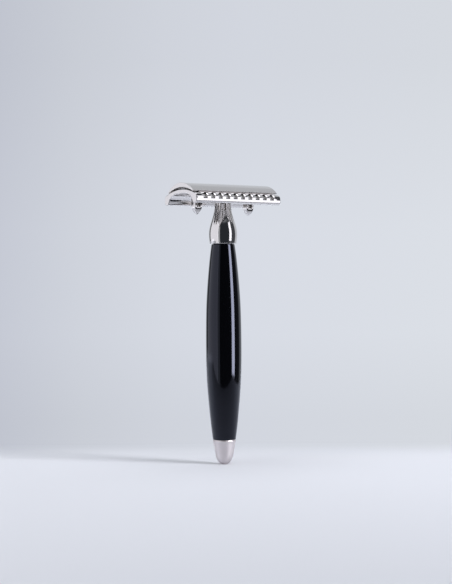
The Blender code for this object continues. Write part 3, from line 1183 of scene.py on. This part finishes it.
@dataclass
class Grip:
    """The barrel-shaped resin grip, bored through for its brass liner."""

    bore: float = 3.65
    stations: tuple[Point, ...] = (
        (5.14, 95.2),
        (5.95, 88.8),
        (6.9, 78.4),
        (7.52, 67.9),
        (7.75, 54.0),
        (7.62, 41.0),
        (7.1, 31.0),
        (6.06, 19.1),
        (5.12, 11.3),
    )

    def build(self, finishes: Finishes) -> None:
        """Models the grip."""
        low, high = node_span("grip")
        top = rounded([(self.bore, high.z), (4.98, high.z), self.stations[0]], 0.22, 4)
        bottom = rounded([self.stations[-1], (4.98, low.z), (self.bore, low.z)], 0.22, 4)
        profile = top[:-1] + spline(self.stations, 10) + bottom[1:]
        grip = lathe("grip", profile, 160, ring=True)
        shade(grip, 32)
        hand_over(grip, "grip", Body.HANDLE, finishes.resin)


@dataclass
class EndButton:
    """The satin nickel button at the handle's foot, with a bright chamfer where it meets the resin."""

    bore: float = 2.55
    recess: float = 4.4
    recess_depth: float = 0.5
    stations: tuple[Point, ...] = (
        (5.04, 10.15),
        (4.86, 9.4),
        (4.38, 6.9),
        (3.77, 3.4),
        (3.05, 1.75),
        (2.2, 0.65),
        (1.2, 0.0),
    )

    def build(self, finishes: Finishes) -> None:
        """Models the button."""
        top = node_span("tip")[1].z + 0.1
        floor = node_span("tie_rod")[0].z - 0.2
        bore = [
            (0.0, floor),
            (self.bore, floor),
            (self.bore, top - self.recess_depth),
            (self.recess, top - self.recess_depth),
            (self.recess, top),
            (4.86, top),
        ]
        button = lathe("tip", bore + spline(self.stations, 8) + [(0.0, 0.0)], 128)
        shade(button, 32)
        hand_over(button, "tip", Body.HANDLE, finishes.satin)


@dataclass
class HandleCore:
    """What the grip hides: the tie rod, the brass liner and a soft washer at each end."""

    thread_length: float = 5.0

    def build(self, finishes: Finishes) -> None:
        """Models the hidden pieces."""
        low, high = node_span("tie_rod")
        ends = [(high.z - self.thread_length, high.z - 0.2), (low.z + 0.2, low.z + self.thread_length)]
        rod = Studs().rod("tie_rod", (high.x - low.x) / 2, low.z, high.z, ends)
        shade(rod, 40)
        hand_over(rod, "tie_rod", Body.HANDLE, finishes.steel)
        rings = (
            ("grip_liner", 2.8, 0.2, Slot.BRASS, finishes.brass),
            ("neck_washer", 2.8, 0.08, Slot.FIBRE, finishes.fibre),
            ("tip_washer", 2.8, 0.08, Slot.FIBRE, finishes.fibre),
        )
        for node, inner, edge, slot, material in rings:
            low, high = node_span(node)
            outer = high.x
            profile = [
                (inner, high.z - edge),
                (inner + edge, high.z),
                (outer - edge, high.z),
                (outer, high.z - edge),
                (outer, low.z + edge),
                (outer - edge, low.z),
                (inner + edge, low.z),
                (inner, low.z + edge),
            ]
            ring = lathe(node, profile, 72, ring=True)
            shade(ring, 40)
            hand_over(ring, node, Body.HANDLE, material)


# ---------------------------------------------------------------- studio


@dataclass
class Studio:
    """The camera, a pale seamless floor, and soft light from a strip, a side panel and the room."""

    azimuth: float = -33.4
    camera_height: float = 74.9
    camera_distance: float = 612.0
    aim_right: float = 1.15
    roll: float = 0.4
    lens: float = 86.6
    floor_front: float = 173.0
    floor_reach: float = 850.0
    floor_right: float = 257.0
    room_radius: float = 1300.0
    sweep: float = 500.0
    wall_top: float = 2200.0
    strip: float = 12.8
    glow: float = 1.9
    light_colour: str = "#F3F5FF"

    def to_camera(self) -> Vector:
        """The level direction from the razor to the camera."""
        turn = math.radians(self.azimuth)
        return Vector((math.sin(turn), -math.cos(turn), 0.0))

    def rightwards(self) -> Vector:
        """The direction that the camera sees as right."""
        turn = math.radians(self.azimuth)
        return Vector((math.cos(turn), math.sin(turn), 0.0))

    def towards(self, bearing: float) -> Vector:
        """A level direction, as a bearing in degrees from the camera's, positive to the right."""
        turn = math.radians(bearing)
        return self.to_camera() * math.cos(turn) + self.rightwards() * math.sin(turn)

    def add_camera(self) -> None:
        """Puts the camera level with the grip, a little above its middle."""
        data = bpy.data.cameras.new("camera")
        data.lens = self.lens
        data.sensor_width = 36.0
        data.clip_start = 10 * MM
        data.clip_end = 20.0
        camera = bpy.data.objects.new("camera", data)
        bpy.context.scene.collection.objects.link(camera)
        aim = Vector((0, 0, self.camera_height)) + self.rightwards() * self.aim_right
        camera.location = (aim + self.to_camera() * self.camera_distance) * MM
        look = (-self.to_camera()).to_track_quat("-Z", "Y").to_matrix()
        roll = Matrix.Rotation(math.radians(-self.roll), 3, "Z")
        camera.rotation_euler = (look @ roll).to_euler()
        bpy.context.scene.camera = camera

    def hang_light(
        self, data: bpy.types.AreaLight, radiance: float, area: float, place: Vector
    ) -> bpy.types.Object:
        """Lights an area light and puts it in its place, out of the camera's sight.

        Args:
            data: The light's shape and size.
            radiance: How bright it looks.
            area: Its area, in square metres.
            place: Where its middle is, in millimetres.

        Returns:
            The light.
        """
        data.energy = radiance * math.pi * area
        data.color = linear(self.light_colour)[:3]
        light = bpy.data.objects.new(data.name, data)
        bpy.context.scene.collection.objects.link(light)
        light.location = place * MM
        light.visible_camera = False
        return light

    def add_panel(
        self,
        name: str,
        bearing: float,
        distance: float,
        width: float,
        heights: Point,
        radiance: float,
    ) -> bpy.types.Object:
        """A flat soft light that stands upright and faces the razor.

        Args:
            name: Its name.
            bearing: Its bearing from the camera's direction, in degrees.
            distance: How far away it stands, in millimetres, as are the other lengths.
            width: Its width.
            heights: The heights of its lower and upper edges.
            radiance: How bright it looks.

        Returns:
            The light.
        """
        low, high = heights
        data = bpy.data.lights.new(name, "AREA")
        data.shape = "RECTANGLE"
        data.size = width * MM
        data.size_y = (high - low) * MM
        outwards = self.towards(bearing)
        middle = outwards * distance + Vector((0, 0, (low + high) / 2))
        panel = self.hang_light(data, radiance, data.size * data.size_y, middle)
        panel.rotation_euler = outwards.to_track_quat("Z", "Y").to_euler()
        return panel

    def add_strip(self) -> None:
        """The tall strip light, with a dimmer twin in its place for the mirror-bright metal."""
        matt = {"grip_piece", "tip_piece", "floor", "backdrop"}
        meshes = [obj for obj in bpy.context.scene.objects if obj.type == "MESH"]
        for name, radiance, for_matt in (("strip light", self.strip, True), ("strip glow", self.glow, False)):
            light = self.add_panel(name, 64.5, 700.0, 250.0, (-45.0, 550.0), radiance)
            reach = bpy.data.collections.new(f"lit by {name}")
            for mesh in meshes:
                if (mesh.name in matt) == for_matt:
                    reach.objects.link(mesh)
            light.light_linking.receiver_collection = reach

    def add_overhead(self, height: float, size: float, radiance: float) -> None:
        """A large soft light straight above the razor, in millimetres."""
        data = bpy.data.lights.new("overhead", "AREA")
        data.shape = "DISK"
        data.size = size * MM
        self.hang_light(data, radiance, math.pi * (data.size / 2) ** 2, Vector((0, 0, height)))

    def window(self, tree: bpy.types.NodeTree, value: Link, low: float, high: float, soft: float) -> Link:
        """1 where a value lies between two limits and 0 outside them.

        Args:
            tree: The node tree.
            value: The value.
            low: The lower limit.
            high: The upper limit.
            soft: How far the change reaches either side of a limit.

        Returns:
            The result.
        """
        rise = remap(tree, value, (low - soft, low + soft), (0.0, 1.0), smooth=True)
        fall = remap(tree, value, (high - soft, high + soft), (1.0, 0.0), smooth=True)
        return work_out(tree, "MULTIPLY", rise, fall)

    def add_room(self) -> None:
        """The room that the gloss reflects: a dark studio with a pale sweep behind and a soft ceiling."""
        world = bpy.data.worlds.new("studio room")
        bpy.context.scene.world = world
        world.use_nodes = True
        tree = world.node_tree
        tree.nodes.clear()
        way: Link = (add_node(tree, "ShaderNodeTexCoord"), "Generated")
        parts = add_node(tree, "ShaderNodeSeparateXYZ", None, None, {"Vector": way})
        right = distance_along(tree, way, self.rightwards())
        ahead = distance_along(tree, way, self.to_camera())
        to_degrees = 180 / math.pi
        turn = work_out(tree, "MULTIPLY", work_out(tree, "ARCTAN2", right, ahead), to_degrees)
        rise = work_out(tree, "MULTIPLY", work_out(tree, "ARCSINE", (parts, "Z")), to_degrees)

        # Each area: bearings, heights, softness in degrees, radiance.
        areas = (
            ((119, 190), (-60, 42), 4.0, 0.74),
            ((119, 190), (36, 95), 5.0, 0.66),
            ((-190, -146), (-60, 95), 3.0, 0.80),
            ((-148, -119), (-60, 95), 2.0, 0.18),
            ((-122, -43), (40, 95), 4.0, 0.36),
            ((-43, -26), (-60, 95), 2.0, 0.50),
            ((-28, 62), (38, 95), 4.0, 0.34),
            ((76, 121), (-60, 95), 3.0, 0.05),
        )
        total: Link | None = None
        for bearings, heights, soft, radiance in areas:
            across = self.window(tree, turn, *bearings, soft)
            up = self.window(tree, rise, *heights, soft)
            lit = work_out(tree, "MULTIPLY", work_out(tree, "MULTIPLY", across, up), radiance)
            total = lit if total is None else work_out(tree, "MAXIMUM", total, lit)
        pale = add_node(
            tree,
            "ShaderNodeMix",
            {"data_type": "RGBA"},
            {6: (0.030, 0.034, 0.042, 1.0), 7: (0.90, 0.945, 1.02, 1.0)},
            {0: total},
        )
        seen = add_node(tree, "ShaderNodeBackground", None, {"Color": linear("#D6DAE3"), "Strength": 1.0})
        room = add_node(tree, "ShaderNodeBackground", None, {"Strength": 1.0})
        tree.links.new(pale.outputs[2], room.inputs["Color"])
        rays = add_node(tree, "ShaderNodeLightPath")
        either = add_node(
            tree,
            "ShaderNodeMixShader",
            None,
            None,
            {0: (rays, "Is Camera Ray"), 1: (room, "Background"), 2: (seen, "Background")},
        )
        add_node(tree, "ShaderNodeOutputWorld", None, None, {"Surface": (either, "Shader")})

    def painted_backdrop_light(self, tree: bpy.types.NodeTree, place: Link) -> bpy.types.Node:
        """The backdrop's glow with painted shade: a little darker to the left, at the top and where it meets
        the floor.

        Args:
            tree: The node tree.
            place: The surface's place.

        Returns:
            The node that mixes its colour.
        """
        stand = (self.to_camera() * self.camera_distance + Vector((0, 0, self.camera_height))) * MM
        offset = add_node(tree, "ShaderNodeVectorMath", {"operation": "SUBTRACT"}, {1: stand}, {0: place})
        right, up, ahead = (
            distance_along(tree, (offset, "Vector"), way)
            for way in (self.rightwards(), Vector((0, 0, 1)), -self.to_camera())
        )
        across = remap(tree, work_out(tree, "DIVIDE", right, ahead), (-0.161, 0.161), (0.0, 1.0))
        side = add_node(tree, "ShaderNodeValToRGB", None, None, {"Fac": across})
        # Painted shade: the glow darkens towards the left, away from the strip light.
        painted_side_shade = (
            (0.0, "#C6CAD5"),
            (0.18, "#CFD3DC"),
            (0.37, "#D5D9E2"),
            (0.55, "#D8DCE5"),
            (1.0, "#DBDFE6"),
        )
        set_ramp(side, [(position, linear(code)) for position, code in painted_side_shade])
        climb = remap(tree, work_out(tree, "DIVIDE", up, ahead), (-0.12, 0.18), (0.0, 1.0))
        height = add_node(tree, "ShaderNodeValToRGB", None, None, {"Fac": climb})
        # Painted shade: the glow dips at the top and where the backdrop meets the floor.
        painted_height_shade = ((0.0, 0.94), (0.1, 0.94), (0.3, 1.0), (0.55, 1.0), (0.95, 0.94))
        set_ramp(height, [(position, grey(value)) for position, value in painted_height_shade])
        tone = add_node(
            tree,
            "ShaderNodeMix",
            {"data_type": "RGBA", "blend_type": "MULTIPLY"},
            {0: 1.0},
            {6: (side, "Color"), 7: (height, "Color")},
        )
        return tone

    def board_material(self) -> bpy.types.Material:
        """Grey board with painted shade: pale round the razor's foot and darker towards its front edge."""
        material, tree, place = bare_material("grey board with painted shade")
        nearness = remap(tree, distance_along(tree, place, self.to_camera()), (-0.1, 0.17), (0.0, 1.0))
        front_shade_ramp = add_node(tree, "ShaderNodeValToRGB", None, None, {"Fac": nearness})
        # Painted shade: these stops darken the board towards the camera, so the grip reflects a darker floor
        # in front.
        painted_shade_stops = ((0.0, 0.92), (0.37, 0.88), (0.5, 0.70), (0.6, 0.57), (0.84, 0.41), (1.0, 0.31))
        cool = (0.96, 0.985, 1.03)
        set_ramp(front_shade_ramp, [(position, (*(value * part for part in cool), 1.0)) for position, value in painted_shade_stops])
        board = add_node(tree, "ShaderNodeBsdfDiffuse", None, {"Roughness": 0.6}, {"Color": (front_shade_ramp, "Color")})
        add_node(tree, "ShaderNodeOutputMaterial", None, None, {"Surface": (board, "BSDF")})
        return material

    def floor_material(self) -> bpy.types.Material:
        """Pale painted board: blue-grey and matt by the razor, and behind it a glowing sweep whose tones are
        painted light and shade.
        """
        material, tree, place = bare_material("pale painted board")
        board = add_node(
            tree, "ShaderNodeBsdfDiffuse", None, {"Color": (0.745, 0.75, 0.755, 1.0), "Roughness": 0.6}
        )
        tone = self.painted_backdrop_light(tree, place)
        # Painted light: the sweep glows with a painted tone instead of being lit by the lamps.
        sweep = add_node(tree, "ShaderNodeEmission", None, {"Strength": 1.0})
        tree.links.new(tone.outputs[2], sweep.inputs["Color"])
        behind = distance_along(tree, place, -self.to_camera())
        away = add_node(tree, "ShaderNodeVectorMath", {"operation": "LENGTH"}, None, {0: place})
        # Behind the razor and far from it the lit board fades into the glowing sweep, so the floor's lighting
        # there is painted.
        far_behind = remap(tree, behind, (0.015, 0.085), (0.0, 1.0), smooth=True)
        far_away = remap(tree, (away, "Value"), (0.25, 0.42), (0.0, 1.0), smooth=True)
        far = work_out(tree, "MAXIMUM", far_behind, far_away)
        mixed = add_node(
            tree,
            "ShaderNodeMixShader",
            None,
            None,
            {0: far, 1: (board, "BSDF"), 2: (sweep, "Emission")},
        )
        add_node(tree, "ShaderNodeOutputMaterial", None, None, {"Surface": (mixed, "Shader")})
        return material

    def add_floor(self) -> None:
        """The board that shows in reflections, and the wide sweep in its place that the camera sees."""
        reach = self.floor_reach
        right = self.floor_right
        corners = ((self.floor_front, -reach), (self.floor_front, right), (-reach, right), (-reach, -reach))
        lifted = Vector((0, 0, -0.05))
        places = [(self.to_camera() * out + self.rightwards() * side + lifted) * MM for out, side in corners]
        board = start_vertex("floor", places[0])
        draw_chain(places)
        bpy.ops.mesh.select_all(action="SELECT")
        bpy.ops.mesh.edge_face_add()
        close_up(board)
        board.data.materials.append(self.board_material())
        board.visible_camera = False
        flat = self.room_radius - self.sweep
        curve = arc((flat, self.sweep), self.sweep, -90, 0, 24)
        profile = [(0.0, 0.0), *curve, (self.room_radius, self.wall_top)]
        sweep = lathe("backdrop", profile, 128, inside_out=True)
        sweep.data.materials.append(self.floor_material())
        shade(sweep, 60)
        for ray in ("visible_diffuse", "visible_glossy", "visible_transmission", "visible_shadow"):
            setattr(sweep, ray, False)

    def build(self) -> None:
        """Sets the studio up."""
        self.add_camera()
        self.add_room()
        self.add_floor()
        self.add_panel("side panel", -80.5, 600.0, 1025.0, (-150.0, 620.0), 1.15)
        self.add_overhead(900.0, 700.0, 2.0)
        bpy.context.scene.view_settings.view_transform = "Standard"


def main() -> None:
    """Builds the razor's pieces and the studio round them."""
    logging.basicConfig(level=logging.INFO, format="%(name)s: %(message)s")
    studio = Studio()
    studio.build()
    finishes = Finishes.build()
    for assembly in (CapPlate(), Studs(), Blade(), GuardPlate(), Neck(), Grip(), EndButton(), HandleCore()):
        log.info("building %s", type(assembly).__name__)
        assembly.build(finishes)
    studio.add_strip()


if __name__ == "__main__":
    main()
